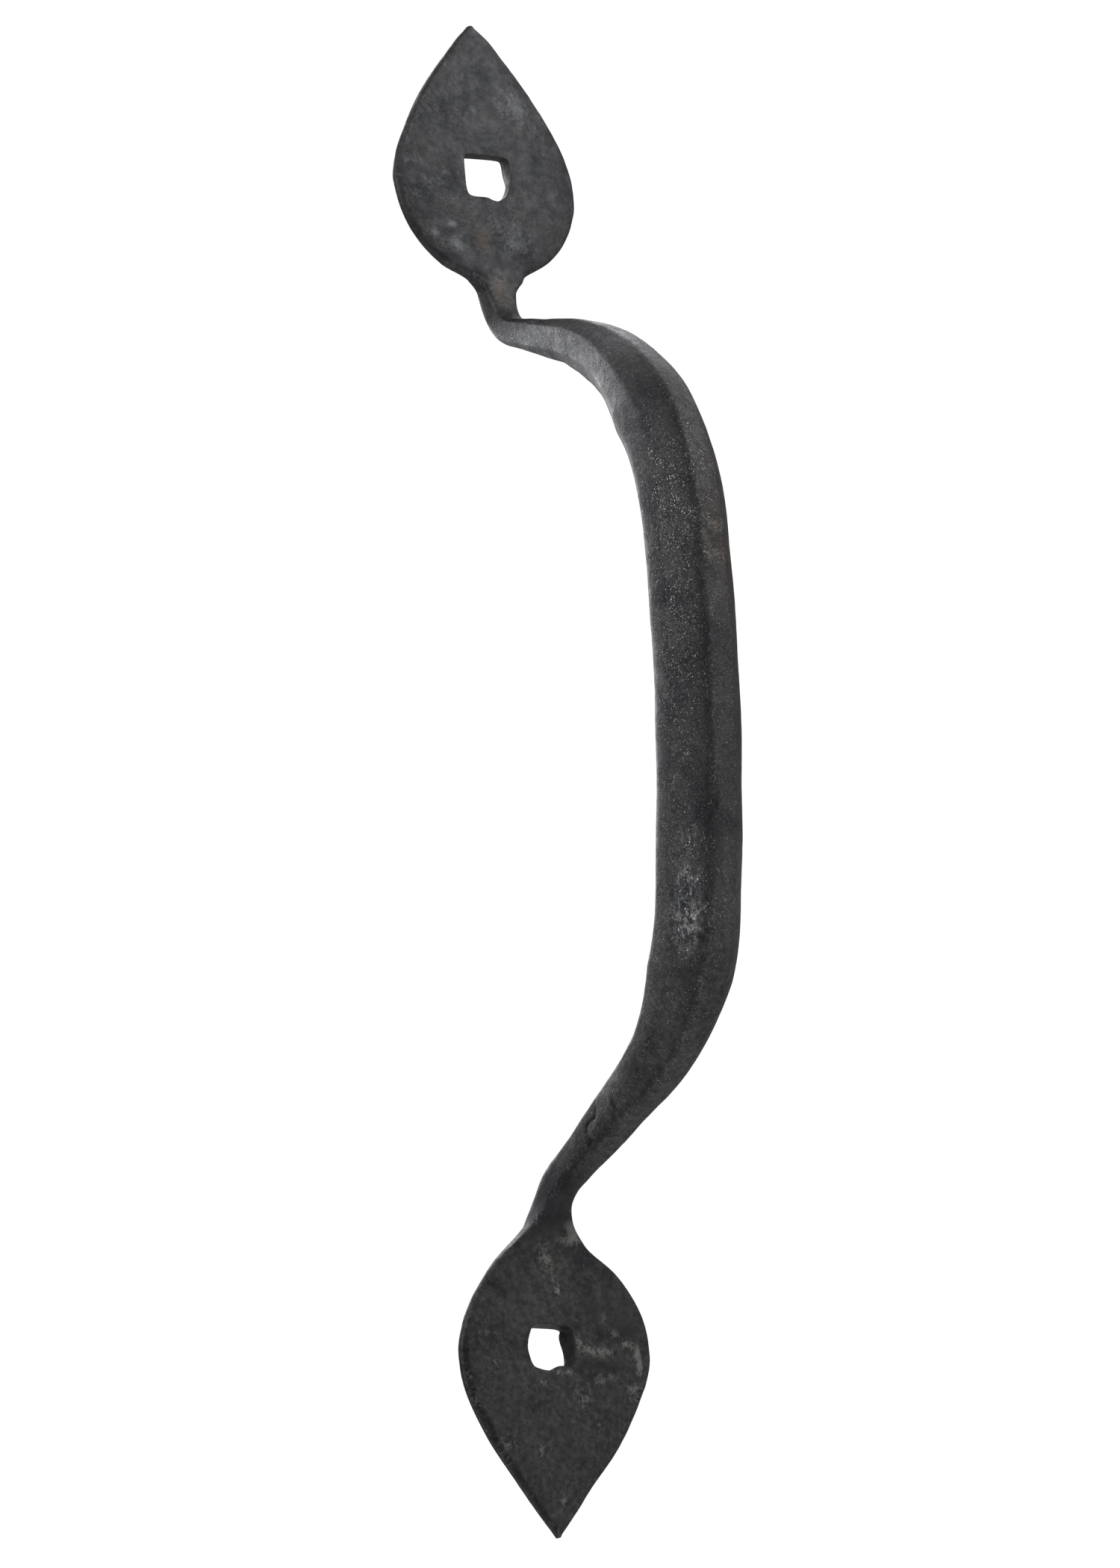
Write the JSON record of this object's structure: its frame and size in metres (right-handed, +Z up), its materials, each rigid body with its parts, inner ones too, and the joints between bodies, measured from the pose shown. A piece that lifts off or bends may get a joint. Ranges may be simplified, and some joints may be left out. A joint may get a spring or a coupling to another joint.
{
  "type": "forged pull handle",
  "caption": "Hand-forged iron pull with a leaf-shaped plate at each end, a square nail hole in each leaf, and a bowed, hammered grip standing off the door.",
  "frame": {"origin": "on the flat back of the upper leaf, on its centre line, 12 mm above the centre of its nail hole", "axes": "+Z up along the handle to the upper leaf's tip, +Y into the door, the grip stands off towards -Y"},
  "size_m": [0.0433, 0.0654, 0.2876],
  "materials": {
    "black_iron": "hammered black iron with a dull oil or wax finish, pitted forge scale and worn edges"
  },
  "bodies": {
    "root": {"forged_handle": "black_iron"}
  },
  "joints": []
}
